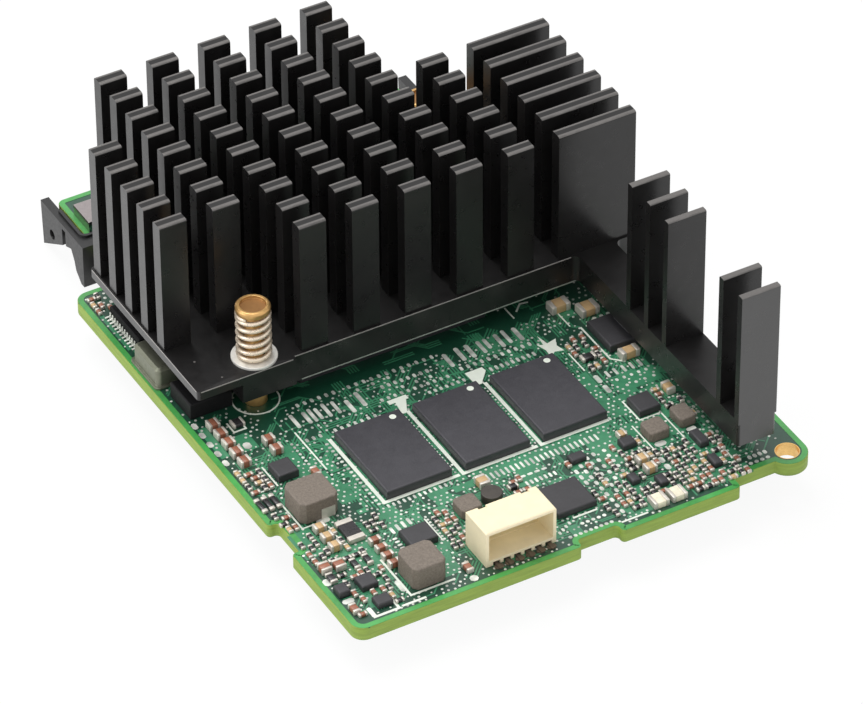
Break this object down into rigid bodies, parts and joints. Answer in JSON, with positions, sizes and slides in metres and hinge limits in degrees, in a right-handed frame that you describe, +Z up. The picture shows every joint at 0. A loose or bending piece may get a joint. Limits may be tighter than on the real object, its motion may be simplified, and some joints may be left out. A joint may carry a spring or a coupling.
{
  "type": "mezzanine storage controller card",
  "caption": "Bare circuit card for a storage controller, with a black pin-fin heat sink on sprung screws, memory chips, a side-entry cable header and board connectors underneath.",
  "frame": {"origin": "bottom centre of the overall box, on the surface that the card stands on", "axes": "+Z up out of the component side of the board, through its thickness; +Y along the board toward the rear tongue and latches; +X to the right when it is seen from the front edge with the cable header"},
  "size_m": [0.0552, 0.0798, 0.0277],
  "materials": {
    "board_laminate": "green solder mask over glass laminate",
    "black_anodised": "black anodised, machined",
    "chip_moulding": "moulded epoxy",
    "memory_moulding": "moulded epoxy",
    "chip_substrate": "laminate",
    "thermal_pad": "soft",
    "brass_turned": "turned",
    "spring_wire": "drawn wire",
    "bright_steel": "plated",
    "header_plastic": "moulded, cream",
    "contact_metal": "plated",
    "latch_plastic": "moulded, black",
    "connector_plastic": "moulded, black",
    "shell_metal": "tinned",
    "ferrite": "pressed powder",
    "brown_ceramic": "fired",
    "tan_ceramic": "fired",
    "resistor_body": "fired",
    "led_body": "clear"
  },
  "bodies": {
    "root": {"circuit_board": "board_laminate", "heat_sink": "black_anodised", "controller_chip": "chip_substrate", "controller_thermal_pad": "thermal_pad", "power_module": "chip_moulding", "arm_thermal_pad": "thermal_pad", "header_housing": "header_plastic", "header_contacts": "contact_metal", "latch_left": "latch_plastic", "latch_right": "latch_plastic", "rear_connector_body": "connector_plastic", "rear_connector_shell": "shell_metal", "crystal_can": "bright_steel", "corner_module": "chip_moulding", "edge_chip": "chip_moulding", "edge_chip_leads": "bright_steel", "inductor_round": "ferrite", "small_packages": "chip_moulding", "status_leds": "led_body", "brown_capacitors": "brown_ceramic", "tan_capacitors": "tan_ceramic", "chip_resistors": "resistor_body", "spring_screws": "brass_turned", "screw_springs": "spring_wire", "screw_washers": "bright_steel", "screw_nuts": "brass_turned", "screw_collars": "brass_turned", "memory_chip_left": "memory_moulding", "memory_chip_middle": "memory_moulding", "memory_chip_right": "memory_moulding", "host_connector_housing": "connector_plastic", "host_connector_contacts": "contact_metal", "drive_connector_housing": "connector_plastic", "drive_connector_contacts": "contact_metal", "inductor_large": "ferrite", "inductor_tall": "ferrite", "inductor_small_left": "ferrite", "inductor_small_middle": "ferrite", "inductor_small_right": "ferrite", "regulator_chip": "chip_moulding", "driver_chip": "chip_moulding", "bridge_chip": "chip_moulding", "logic_chip": "chip_moulding"}
  },
  "joints": []
}
